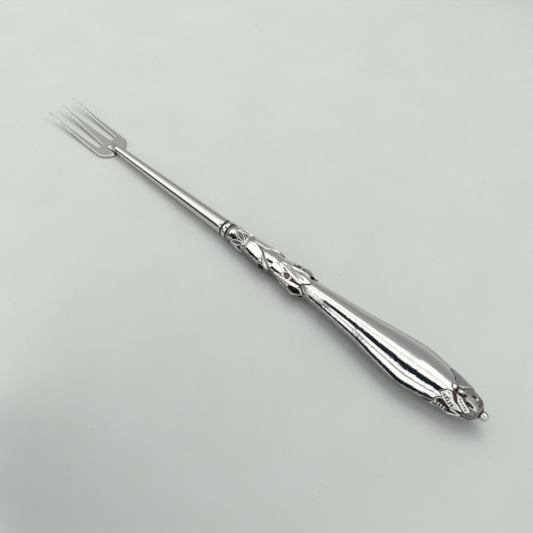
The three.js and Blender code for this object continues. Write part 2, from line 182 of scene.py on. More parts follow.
def part_way(start, end, *rows):
    """Outline rows whose first column is their part of the way from start to end."""
    return [(mix(start, end, part), *sizes) for part, *sizes in rows]


# Outlines along the handle: distance from the mouth, half width, half thickness
SHEATH_OUTLINE = [
    (COLLAR_START, 3.05, 3.02),
    *part_way(
        COLLAR_START, COLLAR_END,
        (0.12, 3.2, 3.14), (0.25, 3.24, 3.17), (0.55, 3.25, 3.18), (0.85, 3.42, 3.28),
    ),
    *part_way(COLLAR_END, BAND_END, (0.4, 3.28, 3.15)),
    (BAND_END, 3.45, 3.26),
    *part_way(BAND_END, WAIST, (0.2, 3.85, 3.42), (0.45, 4.22, 3.5), (0.7, 4.42, 3.56)),
    (WAIST, 4.1, 3.45),
]
LEAF_OUTLINE = [
    (BAND_END, 3.3, 3.0),
    *part_way(BAND_END, WAIST, (0.35, 3.75, 3.15), (0.6, 3.85, 3.2), (0.85, 3.68, 3.15)),
    (WAIST, 3.47, 3.1),
    *part_way(WAIST, LEAF_FREE, (0.45, 3.85, 3.35)),
    (LEAF_FREE, 4.55, 3.68),
    *part_way(LEAF_FREE, LEAF_TIP, (0.5, 5.05, 3.85), (0.76, 4.92, 3.83)),
    (LEAF_TIP, 4.4, 3.7),
]
# The last column says how round the side edges are: 1 is an ellipse's curve, less is tighter
BODY_OUTLINE = [
    (BODY_START, 2.8, 2.45, 1),
    *part_way(
        BODY_START, BELLY,
        (0.11, 3.15, 2.75, 1), (0.245, 3.54, 3.05, 0.95), (0.38, 4.15, 3.48, 0.85),
        (0.615, 5.35, 4.05, 0.6), (0.77, 6.5, 4.5, 0.42), (0.9, 7.42, 4.82, 0.3),
    ),
    (BELLY, BELLY_HALF_WIDTH, 4.948, 0.28),
    *part_way(BELLY, BODY_END, (0.3, 7.45, 4.8, 0.32), (0.58, 6.4, 4.3, 0.5), (0.83, 5.2, 3.6, 0.7)),
    (BODY_END, 4.38, 3.05, 0.85),
    *part_way(BODY_END, CAP_END, (0.45, 3.75, 2.7, 0.95), (0.8, 3.05, 2.45, 1), (0.94, 2.5, 2.15, 1)),
    (CAP_END, 1.9, 1.7, 1),
]

# Lines of the chasing on the calyx: distance from the mouth, angle in degrees. The sheath's edge counts its
# angle from the top, the fold from a leaf's middle line, the others from the groove between two leaves.
SHEATH_EDGE = [
    (24.2, -90), (23.8, -78), (22.7, -61), (21.3, -43), (20.0, -28), (18.6, -13), (16.5, -3), (14.1, 6),
    (16.2, 7.5), (18.9, 9), (20.0, 22), (21.1, 38), (22.7, 60), (24.2, 90),
]
EYE_FLANK = [(28.4, 20), (29.9, 15), (31.2, 12), (32.7, 7), (34.0, 4)]
LEAF_RIDGE = [(26.5, 31), (29.9, 24), (33.7, 16), (36.2, 13), (37.3, 17)]
LEAF_VEIN = [(28.6, 33), (31.0, 30), (33.3, 26), (34.6, 22)]
LEAF_FOLD = [(30.4, 0), (32.6, 4), (35.0, 9), (36.8, 11)]

# Lines of the chasing on the leaf cap: distance from the mouth, angle from the top. The angles are those of
# the near half; the FAR lines lie mirrored on the far half.
FACE_LEAF = [
    (95.2, -66), (94.1, -66), (92.7, -58), (91.8, -55), (91.0, -47), (90.3, -41), (90.2, -36), (90.7, -31),
    (91.0, -25), (91.4, -19.5), (92.4, -18.5), (93.2, -25), (94.1, -36), (95.1, -43), (96.0, -46),
    (96.8, -54), (98.0, -65),
]
FACE_LADDER = [(91.0, -37), (94.9, -58)]
FACE_DASH = [(91.9, -26), (92.7, -30)]
SIDE_LEAF = [(89.2, -97), (89.9, -79), (90.1, -66), (90.6, -56), (91.4, -52)]
SIDE_FIELD = SIDE_LEAF + [(94.0, -66), (96.5, -70), (98.0, -92)]
SIDE_LADDER = [(90.3, -80), (93.5, -84)]
SIDE_RIB = [(94.8, -73), (96.3, -79), (97.7, -90)]
STRAP = [
    (93.7, -15), (94.6, -24), (95.2, -35), (96.3, -43), (97.7, -56), (98.7, -63), (99.4, -50), (98.8, -37),
    (98.0, -31), (96.9, -24), (95.8, -16), (94.8, -12),
]
STRAP_LADDER = [(95.0, -18), (97.2, -36), (98.4, -48)]
ALMOND = [(97.4, -17), (99.2, -23)]
ALMOND_RIM = [(97.2, -14), (97.7, -9.5), (98.6, -11), (99.4, -16), (100.0, -23)]
BUD = [(91.3, 2), (91.6, -5), (92.2, -8), (92.7, -5), (92.9, 2)]
HOLES = [(93.2, -6.5), (94.8, -9.5), (95.8, -2)]
TAIL_LINE = [(98.6, -29), (99.5, -29), (100.4, -28), (101.4, -36)]
BEAD = (94.4, -1)
FAR_LEAF = [(88.0, -9), (92.9, -9), (94.0, -13), (95.0, -24), (95.8, -45), (96.2, -95), (86.0, -95)]
FAR_VEINS = [[(91.6, -26), (93.2, -29), (94.6, -33)], [(90.6, -50), (92.6, -53), (95.2, -57)]]
FAR_HOLE = (97.8, -23)
FAR_BEAD = (98.8, -20)


def through(rows):
    """Smooth curves through the rows, as a function of the first column."""
    rows = np.array(rows, float)
    place, values = rows[:, 0], rows[:, 1:]
    before = np.maximum(np.arange(len(rows)) - 1, 0)
    after = np.minimum(np.arange(len(rows)) + 1, len(rows) - 1)
    slopes = (values[after] - values[before]) / (place[after] - place[before])[:, None]

    def curve(where):
        where = np.clip(where, place[0], place[-1])
        i = np.clip(np.searchsorted(place, where) - 1, 0, len(rows) - 2)
        span = place[i + 1] - place[i]
        part = ((where - place[i]) / span)[..., None]
        span = span[..., None]
        rise = values[i + 1] - values[i]
        bend = (slopes[i] * span - rise) * (1 - part) - (slopes[i + 1] * span - rise) * part
        return np.moveaxis(values[i] + part * rise + part * (1 - part) * bend, -1, 0)

    return curve


sheath_size = through(SHEATH_OUTLINE)
leaf_size = through(LEAF_OUTLINE)
body_size = through(BODY_OUTLINE)


def axis_height(along):
    return BELLY_AXIS + AXIS_SLOPE * (along - BELLY)


def placed(along, y, z):
    """Points from their distance from the mouth and their offset from the axis."""
    along, y, z = np.broadcast_arrays(along, y, z)
    return np.stack([along + MOUTH, y, axis_height(along) + z], -1)


def new_object(name, data):
    made = bpy.data.objects.new(name, data)
    bpy.context.scene.collection.objects.link(made)
    return made


def mesh_object(name, points, faces):
    mesh = bpy.data.meshes.new(name)
    mesh.from_pydata((np.asarray(points) * MM).tolist(), [], faces)
    mesh.polygons.foreach_set("use_smooth", np.ones(len(mesh.polygons), bool))
    mesh.update()
    return new_object(name, mesh)


def grid_faces(rows, columns, around=True, joined=False):
    """Quads over rows of points; around joins the last column to the first, joined does so for rows."""
    i = np.arange(rows if joined else rows - 1)[:, None]
    j = np.arange(columns if around else columns - 1)[None, :]
    following = (i + 1) % rows
    beside = (j + 1) % columns
    quads = [i * columns + j, following * columns + j, following * columns + beside, i * columns + beside]
    return np.stack(np.broadcast_arrays(*quads), -1).reshape(-1, 4).tolist()


def tube(name, rows):
    """Closed piece over rings of points that run along +X, with a fan on both ends."""
    rows = np.asarray(rows)
    count, columns = rows.shape[:2]
    points = list(rows.reshape(-1, 3)) + [rows[0].mean(0), rows[-1].mean(0)]
    faces = grid_faces(count, columns)
    start, end, last = count * columns, count * columns + 1, (count - 1) * columns
    for j in range(columns):
        k = (j + 1) % columns
        faces.append((start, j, k))
        faces.append((end, last + k, last + j))
    return mesh_object(name, points, faces)


def sleeve(name, rows):
    """Closed piece over rings that run along the outside and back along the inside."""
    rows = np.asarray(rows)
    count, columns = rows.shape[:2]
    return mesh_object(name, rows.reshape(-1, 3), grid_faces(count, columns, joined=True))


def mark(piece, name, amount):
    """Keeps an amount from 0 to 1 on each point for the material, such as how much tarnish and painted shade
    lies there.
    """
    held = np.zeros(len(piece.data.vertices))
    held[: amount.size] = np.clip(amount, 0, 1).ravel()
    piece.data.attributes.new(name, "FLOAT", "POINT").data.foreach_set("value", held)


def turns(count):
    return np.arange(count) * 2 * math.pi / count


def ring_of(along, radius, count):
    """Round rings about the axis."""
    along, radius = np.asarray(along, float)[:, None], np.asarray(radius, float)[:, None]
    angle = turns(count)[None, :]
    return placed(along, radius * np.sin(angle), radius * np.cos(angle))


def path_distance(along, across, path, degree):
    """Distance in millimetres from points of a surface to a line on it; degree is the length of one."""
    best = np.full(np.broadcast(along, across).shape, 1e9)
    for (s0, w0), (s1, w1) in zip(path[:-1], path[1:]):
        ds, dw = s1 - s0, (w1 - w0) * degree
        x, y = along - s0, (across - w0) * degree
        part = np.clip((x * ds + y * dw) / (ds * ds + dw * dw), 0, 1)
        best = np.minimum(best, np.hypot(x - part * ds, y - part * dw))
    return best


def inside_path(along, across, path):
    """True for points inside a closed line on a surface."""
    held = np.zeros(np.broadcast(along, across).shape, bool)
    for (s0, w0), (s1, w1) in zip(path, path[1:] + path[:1]):
        crosses = (w0 > across) != (w1 > across)
        held ^= crosses & (along < (s1 - s0) * (across - w0) / (w1 - w0 + 1e-12) + s0)
    return held


def field(along, across, path, degree):
    """Distance inwards from a closed line, negative outside it."""
    distance = path_distance(along, across, path + path[:1], degree)
    return np.where(inside_path(along, across, path), distance, -distance)


def ladder(along, across, path, degree, period, reach):
    """Bars across a line: 1 on a bar, 0 between two and 0 away from the line. Gives bars and their field."""
    (s0, w0), (s1, w1) = path[0], path[-1]
    ds, dw = s1 - s0, (w1 - w0) * degree
    length = math.hypot(ds, dw)
    onward = ((along - s0) * ds + (across - w0) * degree * dw) / length
    held = ramp(reach + 0.1, reach - 0.1, path_distance(along, across, path, degree))
    return (0.5 + 0.5 * np.sin(onward * 2 * math.pi / period)) * held, held


def head_edge_distance(x, y):
    """Distance inwards from the edge of the head's plan, in millimetres."""
    stub = HEEL - ROOT_LENGTH - SLOT_WIDTH / 2
    y = np.abs(y)
    part = np.clip((stub - x) / (stub - TINE_TIP), 0, 1)
    tip = x - TINE_TIP
    outer_root = MIDDLE_TINE_WIDTH / 2 + SLOT_WIDTH + OUTER_TINE_WIDTH / 2
    middle = np.minimum(mix(MIDDLE_TINE_WIDTH, TIP_WIDTH, part**1.25) / 2 - y, tip)
    centre = mix(outer_root, TIP_SPREAD / 2, part)
    outer = np.minimum(mix(OUTER_TINE_WIDTH, TIP_WIDTH, part**1.25) / 2 - np.abs(y - centre), tip)
    edge = outer_root + OUTER_TINE_WIDTH / 2
    onward = np.maximum(x - (HEEL - SHOULDER_RADIUS), 0)
    outward = np.maximum(y - edge + SHOULDER_RADIUS, 0)
    corner = SHOULDER_RADIUS - np.hypot(onward, outward)
    slot = np.hypot(x - stub, y - MIDDLE_TINE_WIDTH / 2 - SLOT_WIDTH / 2) - SLOT_WIDTH / 2
    return np.where(x > stub, np.minimum(corner, slot), np.maximum(middle, outer))


def cut_cells(x, y, depth):
    """Cells of a grid cut at depth 0: corner points, their depths and faces."""
    plan, level, number, faces = [], [], {}, []

    def keep(key, point, value):
        if key not in number:
            number[key] = len(plan)
            plan.append(point)
            level.append(value)
        return number[key]

    def crossing(a, b):
        part = depth[a] / (depth[a] - depth[b])
        point = (mix(x[a[0]], x[b[0]], part), mix(y[a[1]], y[b[1]], part))
        return keep(tuple(sorted((a, b))), point, 0.0)

    for i in range(len(x) - 1):
        for j in range(len(y) - 1):
            corners = [(i, j), (i + 1, j), (i + 1, j + 1), (i, j + 1)]
            face = []
            for here, after in zip(corners, corners[1:] + corners[:1]):
                if depth[here] > 0:
                    face.append(keep(here, (x[here[0]], y[here[1]]), depth[here]))
                if (depth[here] > 0) != (depth[after] > 0):
                    face.append(crossing(here, after))
            if len(face) > 2:
                faces.append(face)
    return np.array(plan), np.array(level), faces


def tongue_half_width(along):
    """Half width of the stem's tongue on the plate, round at the nose."""
    onward = np.clip((along - NOSE + MOUTH) / NOSE_LENGTH, 0, 1)
    return STEM_HEAD_RADIUS * np.sqrt(1 - (1 - onward) ** 2)


def head_piece():
    """Plate with three tines that thin and curve up to their tips, its edges rounded above and below."""
    x = np.arange(TINE_TIP - HEAD_CELL / 2, HEEL + HEAD_CELL, HEAD_CELL)
    half = MIDDLE_TINE_WIDTH / 2 + SLOT_WIDTH + OUTER_TINE_WIDTH
    y = np.arange(-half - HEAD_CELL / 2, half + HEAD_CELL, HEAD_CELL)
    plan, level, faces = cut_cells(x, y, head_edge_distance(x[:, None], y[None, :]))
    stub = HEEL - ROOT_LENGTH - SLOT_WIDTH / 2
    part = np.clip((stub - plan[:, 0]) / (stub - TINE_TIP), 0, 1)
    top = PLATE_THICKNESS + TIP_RISE * part**2
    thickness = mix(PLATE_THICKNESS, TIP_THICKNESS, part)
    rounding = np.minimum(EDGE_ROUNDING, thickness / 2)
    sunk = rounding * (1 - np.sqrt(1 - np.clip(1 - level / rounding, 0, 1) ** 2))
    count = len(plan)
    rim = level == 0
    upper = np.where(rim, top - rounding, top - sunk)
    lower = np.where(rim, top - thickness + rounding, top - thickness + sunk)
    points = np.concatenate([np.column_stack([plan, upper]), np.column_stack([plan, lower])])
    walls = []
    for face in faces:
        for a, b in zip(face, face[1:] + face[:1]):
            if rim[a] and rim[b]:
                walls.append([b, a, a + count, b + count])
    under = [[k + count for k in reversed(face)] for face in faces]
    piece = mesh_object("fork_head_plate", points, faces + under + walls)
    # Tarnish in the seam around the tongue, and painted shadow in the notches where the stem leaves the
    # plate, wider on the far side
    outside = np.abs(plan[:, 1]) - tongue_half_width(plan[:, 0] - MOUTH)
    seam = 0.85 * bump(np.maximum(outside, NOSE - plan[:, 0]), 0.22)
    reach = np.where(plan[:, 1] > 0, 1.6, 0.55)
    notch_shadow = bump(np.maximum(outside, 0) / reach, 1) * ramp(HEEL - 0.9, HEEL - 0.3, plan[:, 0])
    mark(piece, "tarnish_and_shade", np.maximum(seam, notch_shadow))
    return piece


def stem_piece():
    """Tapered stem; its tongue lies on the plate like a low thumb with an uneven soldered face."""
    heel, nose = HEEL - MOUTH, NOSE - MOUTH
    angle = turns(ROUND_COLUMNS)[None, :]
    tongue = mix(nose, heel, np.linspace(0.02, 1, 44) ** 1.5)[:, None]
    onward = (tongue - nose) / (heel - nose)
    rise = np.maximum(np.cos(angle), 0) ** 0.75
    half_width = tongue_half_width(tongue)
    full = HEEL_AXIS + STEM_HEAD_RADIUS - PLATE_THICKNESS
    height = mix(NOSE_HEIGHT, full, ramp(0.4, 1.05, onward)) * half_width / STEM_HEAD_RADIUS
    lumps = np.sin(5.2 * tongue + 2 * np.sin(2 * angle)) * np.cos(3 * angle + 1.7 * tongue)
    thumb = PLATE_THICKNESS + rise * (height + SOLDER_LUMPS * lumps)
    rod = np.maximum(axis_height(tongue) + STEM_HEAD_RADIUS * np.cos(angle), PLATE_THICKNESS)
    top = mix(thumb, rod, ramp(0.8, 1, onward))
    lapped = np.stack([tongue + MOUTH + 0 * angle, half_width * np.sin(angle), top], -1)
    shank = np.linspace(heel + 0.05, -MOUTH_CHAMFER, 60)
    shank_radius = mix(STEM_HEAD_RADIUS, STEM_MOUTH_RADIUS, (shank - heel) / (shank[-1] - heel))
    turn = np.linspace(0, math.pi / 2, 6)[1:]
    turn_along = -MOUTH_CHAMFER * (1 - np.sin(turn))
    turn_radius = STEM_MOUTH_RADIUS - MOUTH_CHAMFER * (1 - np.cos(turn))
    along = np.concatenate([shank, turn_along, [0.0]])
    radius = np.concatenate([shank_radius, turn_radius, [RING_RADIUS - 2 * GROOVE_DEPTH]])
    piece = tube("stem_rod", np.concatenate([lapped, ring_of(along, radius, ROUND_COLUMNS)]))
    seam = ramp(0.4, 0.15, np.cos(angle)) * ramp(1.0, 0.9, onward)
    # Painted shadow on the stem's sides in the notches by the plate's heel
    corner = bump(along - heel - 0.35, 0.9)[:, None] * ramp(0.6, 0.2, np.cos(angle))
    mouth = ramp(-0.25, -0.02, along)[:, None]
    mark(piece, "tarnish_and_shade", np.concatenate([seam, highest(corner, mouth)]))
    return piece


def ring_piece():
    """Bead between two dark grooves."""
    part = np.linspace(0, 1, 26)
    low = RING_RADIUS - GROOVE_DEPTH
    bead = low + GROOVE_DEPTH * np.sin(math.pi * part**1.15) ** 0.6
    bead_along = mix(GROOVE_WIDTH, RING_END - GROOVE_WIDTH, part)
    along = np.concatenate([[0.0, 0.05], bead_along, [RING_END - 0.05, RING_END]])
    radius = np.concatenate([[low - 0.25, low], bead, [low, low - 0.25]])
    piece = tube("mouth_bead_ring", ring_of(along, radius, ROUND_COLUMNS))
    in_groove = ramp(RING_RADIUS - 0.12, low + 0.05, radius)
    mark(piece, "tarnish_and_shade", in_groove[:, None] + np.zeros(ROUND_COLUMNS))
    return piece


def local_angle(angle, count, turn):
    """Angle in degrees from the nearest of the evenly set leaves' middle lines."""
    step = 360 / count
    return (np.degrees(angle) - turn + step / 2) % step - step / 2


def sheath_depth(along, angle):
    """Distance inwards from the edge of the wrapped sheath, negative past it."""
    across = (np.degrees(angle) + 90) % 180 - 90
    edge = np.array(SHEATH_EDGE)
    distance = path_distance(along, across, SHEATH_EDGE, CALYX_DEGREE)
    return np.where(along < np.interp(across, edge[:, 1], edge[:, 0]), distance, -distance)


def uneven(along, angle):
    """Slow waves of hand-worked metal, about 1 high."""
    first = np.sin(1.25 * along + 0.6) * np.cos(3 * angle + 0.35 * along)
    return 0.6 * first + 0.4 * np.sin(0.9 * along - 2 * angle + 2)


# Reliefs: heights are in millimetres; tarnish and painted shade is 0 on clean metal, about 0.5 for a film
# and 1 for black
def collar_relief(along, angle):
    """Pairs of pointed leaves that spread from the band towards the mouth: height, tarnish with painted
    shade, rims rubbed bright with a painted highlight.
    """
    spread = COLLAR_SPREAD - COLLAR_SLANT * (along - COLLAR_MIDDLE)
    from_middle = np.abs(local_angle(angle, COLLAR_PAIRS, COLLAR_TURN))
    beside = np.abs(from_middle - spread) * COLLAR_DEGREE
    onward = np.clip((along - COLLAR_MIDDLE) / COLLAR_HALF_LENGTH, -1, 1)
    depth = COLLAR_HALF_ANGLE * COLLAR_DEGREE * (1 - onward**2) ** 0.75 - beside
    here = ramp(1.0, 0.9, np.abs(onward))
    inside = ramp(0.32, 0.45, depth) * here
    rim = bump(depth - 0.18, 0.17) * here
    rib = bump(beside, 0.1) * inside
    outline = bump(depth + 0.2, 0.2) * between(COLLAR_MIDDLE - 2.6, COLLAR_MIDDLE + 2.4, 0.4, along)
    pit = ramp(1.1, 0.7, oval(along, 180 / COLLAR_PAIRS - from_middle, COLLAR_END, 1.0, 10))
    ground = ramp(0.95, 0.8, oval(along, from_middle, GROUND_MIDDLE, 1.7, 22))
    bead = bump(along - COLLAR_END - 0.9, 0.35) * (1 - pit)
    front_line = bump(along - COLLAR_START - 0.75, 0.2)
    height = 0.3 * rim - 0.2 * inside + 0.25 * rib - 0.2 * outline
    height = height + 0.14 * bead - 0.1 * front_line - 0.2 * pit
    front_film = 0.5 * ramp(COLLAR_START + 0.7, COLLAR_START + 0.5, along)
    band_film = 0.46 * between(BAND_END - 0.4, BAND_END + 0.7, 0.4, along)
    # Tarnish with painted shade: the pits darken away from the top, and the ground's film between a pair's
    # leaves is kept off the top
    pit_film_and_shade = mix(0.5, 1.1, ramp(0.7, 0.3, np.cos(angle))) * pit
    ground_film_and_shade = 1.2 * ground * ramp(0.85, 0.82, np.cos(angle))
    films_and_shade = highest(front_film, band_film, pit_film_and_shade, ground_film_and_shade)
    tarnish_and_shade = highest(outline, inside * (1 - rib), 1.1 * front_line, films_and_shade)
    return height, tarnish_and_shade, highest(rim, 0.4 * rib, 0.5 * bead)


def leaf_relief(along, angle):
    """Leaves with dark eyes between them, ribs and spoon-like side tips: height, tarnish with painted shade,
    rims rubbed bright with a painted highlight.
    """
    side = np.abs(local_angle(angle, LEAVES, LEAF_TURN))
    apart = 180 / LEAVES - side

    def line(across, path, width):
        return bump(path_distance(along, across, path, CALYX_DEGREE), width)

    eye = oval(along, apart, LEAF_FREE, 1.5, 12)
    flank = line(apart, EYE_FLANK, 0.2)
    ridge = line(apart, LEAF_RIDGE, 0.3)
    vein = line(apart, LEAF_VEIN, 0.17)
    groove = bump(apart, 4.6) * ramp(LEAF_FREE + 1.2, LEAF_FREE + 2.4, along)
    sideways = ramp(0.5, 0.7, np.abs(np.sin(angle)))
    spoon = oval(along, side, SPOON_MIDDLE, 2.3, 17)
    bowl = ramp(1.1, 0.9, spoon) * sideways
    lens = bump(oval(along, side, LEAF_NOTCH, 1.9, 8), 1) * (1 - sideways)
    fold = line(side, LEAF_FOLD, 0.16) * (1 - sideways)
    pupil = ramp(1.0, 0.75, eye)
    eye_rim = bump(eye - 1.22, 0.14)
    spoon_rim = bump(spoon - 1.24, 0.1) * sideways
    height = 0.2 * eye_rim + 0.22 * spoon_rim - 0.5 * pupil - 0.2 * flank + 0.18 * ridge - 0.12 * vein
    height = height - 0.5 * groove - 0.5 * bowl + 0.1 * bowl * bump(side - 2, 3)
    height = height + 0.2 * lens - 0.12 * fold
    eye_film = 0.68 * pupil + 0.3 * bump(eye - 0.82, 0.12)
    # Tarnish in the spoon bowls, with painted shade that turns them black on the near side
    bowl_film_and_shade = bowl * mix(0.45, 1.1, ramp(0.2, -0.2, np.sin(angle)))
    # The gutters between the leaves take tarnish and painted shadow, black in their bottoms
    tarnish_and_shade = highest(eye_film, 0.92 * flank, 0.45 * vein, 1.15 * groove, bowl_film_and_shade, 0.5 * fold)
    rubbed_and_highlit = highest(eye_rim, 0.7 * spoon_rim, 0.6 * ridge, 0.5 * lens)
    started = ramp(WAIST, WAIST + 2, along)
    return height * started, tarnish_and_shade * started, rubbed_and_highlit * started


def calyx_point(along, angle):
    """Outer surface of the calyx, its tarnish with painted shade, and where it is rubbed bright with a
    painted highlight.
    """
    depth = sheath_depth(along, angle)
    wrapped = ramp(-0.1, 0.1, depth)
    behind_band = ramp(BAND_END + 0.5, BAND_END + 2, along)
    lip = 0.16 * bump(depth - 0.35, 0.25) * behind_band
    crease = bump(depth + 0.25, 0.25) * behind_band
    collar_height, collar_tarnish_and_shade, collar_rubbed_and_highlit = collar_relief(along, angle)
    leaf_height, leaf_tarnish_and_shade, leaf_rubbed_and_highlit = leaf_relief(along, angle)
    before_band = ramp(BAND_END + 0.8, BAND_END, along)
    relief = collar_height * before_band + leaf_height + lip - 0.2 * crease
    relief = relief + 0.05 * uneven(along, angle) * ramp(COLLAR_START, COLLAR_START + 2, along)
    bud_drop = 0.16 * (1 - wrapped) * behind_band * ramp(WAIST - 1, WAIST - 5, along)
    pairs = zip(leaf_size(along), sheath_size(along))
    size = [mix(leaf, sheath, wrapped) + relief - bud_drop for leaf, sheath in pairs]
    laid = ramp(mix(LEAF_FREE, LEAF_TIP, 0.5), LEAF_TIP, along)
    size = [mix(free, body + LEAF_WALL + 0.1, laid) for free, body in zip(size, body_size(along))]
    # Painted shade on the calyx's lower sides and underside, from about 3 mm behind the mouth onwards
    low_side_shade = 0.6 * ramp(0.45, 0.25, np.cos(angle)) * ramp(BAND_END - 9, BAND_END - 7, along)
    # Painted shade on the sheath's lower half by its side tips
    spot = ramp(1.0, 0.6, oval(along, np.abs(np.sin(angle)) - 1, SHEATH_SPOT, 1.7, 0.1))
    dark_spot = spot * wrapped * ramp(-0.3, -0.1, np.cos(angle))
    tarnish_and_shade = highest(collar_tarnish_and_shade, leaf_tarnish_and_shade, 0.85 * crease, low_side_shade, dark_spot)
    rubbed_and_highlit = highest(collar_rubbed_and_highlit * before_band, leaf_rubbed_and_highlit)
    tarnish_and_shade = tarnish_and_shade * (1 - 0.7 * rubbed_and_highlit)
    return placed(along, size[0] * np.sin(angle), size[1] * np.cos(angle)), tarnish_and_shade, rubbed_and_highlit


def leaf_end(angle):
    """Where the calyx leaves end: a round tip on each leaf and notches between leaves."""
    local = local_angle(angle, LEAVES, LEAF_TURN)
    share = (1 + np.cos(np.radians(local) * LEAVES)) / 2
    return LEAF_NOTCH + (LEAF_TIP - LEAF_NOTCH) * share**0.9


def calyx_piece():
    """Cast sleeve with chased leaves; the tips stand clear of the body."""
    columns = 200
    angle = turns(columns)[None, :]
    fixed = np.linspace(COLLAR_START, LEAF_FREE, 200)[:, None] + 0 * angle
    free = mix(LEAF_FREE, leaf_end(angle), np.linspace(0, 1, 56)[1:, None])
    outer_along = np.concatenate([fixed, free])
    outer, tarnish_and_shade, rubbed_and_highlit = calyx_point(outer_along, angle)
    inward = np.array([0.15, 0.7, 1.0, 1.0, 1.0])[:, None, None]
    along = mix(leaf_end(angle), LEAF_FREE, np.array([0.0, 0.02, 0.1, 0.5, 1.0])[:, None])
    rim, _, _ = calyx_point(along, angle)
    centre = placed(along, 0, 0)
    reach = np.linalg.norm(rim - centre, axis=-1, keepdims=True)
    under = centre + (rim - centre) * (1 - LEAF_WALL * inward / reach)
    seat_along = np.array([LEAF_FREE - 1, BODY_START])[:, None] + 0 * angle
    width, thickness, _ = body_size(seat_along)
    seat = placed(seat_along, width * np.sin(angle), thickness * np.cos(angle))
    bore = ring_of([BODY_START, COLLAR_START], [CALYX_BORE, CALYX_BORE], columns)
    outer[..., 2] = np.maximum(outer[..., 2], 0)
    piece = sleeve("neck_calyx_chased", np.concatenate([outer, under, seat, bore]))
    mark(piece, "tarnish_and_shade", tarnish_and_shade)
    mark(piece, "rubbed_and_highlit", rubbed_and_highlit)
    on_collar = ramp(BAND_END, COLLAR_END, outer_along)
    on_leaves = ramp(WAIST, LEAF_FREE, outer_along)
    mark(piece, "worked", 0.4 * on_collar + 0.4 * on_leaves)
    return piece


def body_section(along):
    """Section of the body: half width and thickness, edge, sharp half width, arc's middle and radius."""
    width, thickness, roundness = body_size(along)
    edge = roundness * thickness**2 / width
    sharp_width, sharp_thickness = width - edge, thickness - edge
    arc = (sharp_width**2 + sharp_thickness**2) / (2 * sharp_thickness)
    return width, thickness, edge, sharp_width, sharp_thickness - arc, arc


def lens_rows(along, facing):
    """Rows of the body's section, by the direction each point faces: offsets from the axis, and angle."""
    width, thickness, edge, sharp_width, drop, arc = body_section(along[:, None])
    sine, cosine = np.sin(facing)[None, :], np.cos(facing)[None, :]
    beside = np.abs(sine) > sharp_width / arc
    y = np.where(beside, np.sign(sine) * sharp_width + edge * sine, (arc + edge) * sine)
    z = np.where(beside, edge * cosine, np.sign(cosine) * drop + (arc + edge) * cosine)
    return y, z, np.arctan2(y / width, z / thickness)


def body_half(name, centre):
    """One stamped half of the body; its long edges turn in at the side seam."""
    stations = [
        (BODY_START, 8), (LEAF_NOTCH - 0.6, 34), (LEAF_TIP + 0.9, 100), (CAP_SIDE_TIP - 0.8, 44),
        (CAP_BUD_NOTCH + 0.4, 5), (BODY_END, 1),
    ]
    spans = zip(stations, stations[1:])
    along = [np.linspace(start, end, count)[:-1] for (start, count), (end, _) in spans]
    along = np.concatenate(along + [[BODY_END]])
    across = np.linspace(-1, 1, 96)
    facing = np.radians(centre + 90 * np.sign(across) * np.abs(across) ** 1.1)
    y, z, angle = lens_rows(along, facing)
    rows = placed(along[:, None], y, z)
    turned_in = 0.94
    lips = [placed(along[:, None], y[:, [k]] * turned_in, z[:, [k]]) for k in (0, -1)]
    rows = np.concatenate([lips[0], rows, lips[1]], axis=1)
    rows[..., 2] = np.maximum(rows[..., 2], 0)
    # Dirt and painted shade on the body under the calyx leaves' ends and just before the cap's front edge,
    # reaching further on the far side
    under_leaf = ramp(0.38, 0.05, along[:, None] - leaf_end(angle))
    ahead = cap_front(angle) - along[:, None]
    before_cap = ramp(0.6, 0.15, ahead / mix(1.0, 1.6, ramp(0.5, 0.8, np.sin(angle))))
    turned_down = np.degrees(facing) - centre
    # Painted shade on the body's sides: a dark film on the near rim and a lighter one over the far flank
    near_rim = ramp(-59, -66, turned_down) if centre == 0 else ramp(40, 70, turned_down)
    far_rim = ramp(18, 46, turned_down) if centre == 0 else ramp(-40, -70, turned_down)
    seam = np.maximum(0.5 * near_rim, 0.42 * far_rim)[None, :]
    sideways = ramp(0.75, 0.9, np.abs(np.sin(angle)))
    # Painted shade on the body's sides behind the calyx and on its near rim before the cap
    calyx_shade = 0.5 * ramp(CALYX_SHADE_END, LEAF_TIP, along)[:, None] * sideways
    cap_shade = 0.7 * ramp(CAP_SHADE_START, CAP_SHADE_FULL, along)[:, None] * near_rim[None, :]
    tarnish_and_shade = highest(under_leaf, before_cap, seam, calyx_shade, cap_shade)
    tarnish_and_shade = np.pad(tarnish_and_shade, ((0, 0), (1, 1)))
    piece = mesh_object(name, rows.reshape(-1, 3), grid_faces(*rows.shape[:2], around=False))
    mark(piece, "tarnish_and_shade", tarnish_and_shade)
    return piece


def on_body(along, angle, offset):
    """Points over the body's section, in the direction an ellipse of its size has at that angle."""
    width, thickness, edge, sharp_width, drop, arc = body_section(along)
    edge = edge + offset
    y, z = np.abs(width * np.sin(angle)), np.abs(thickness * np.cos(angle))
    sine, cosine = y / np.hypot(y, z), z / np.hypot(y, z)
    on_arc = drop * cosine + np.sqrt((arc + edge) ** 2 - (drop * sine) ** 2)
    facing = np.arctan2(on_arc * sine, on_arc * cosine - drop)
    beside = sharp_width * sine + np.sqrt(np.maximum(edge**2 - (sharp_width * cosine) ** 2, 0))
    reach = np.where(facing > np.arcsin(np.minimum(sharp_width / arc, 1)), beside, on_arc)
    return placed(along, np.sign(np.sin(angle)) * reach * sine, np.sign(np.cos(angle)) * reach * cosine)


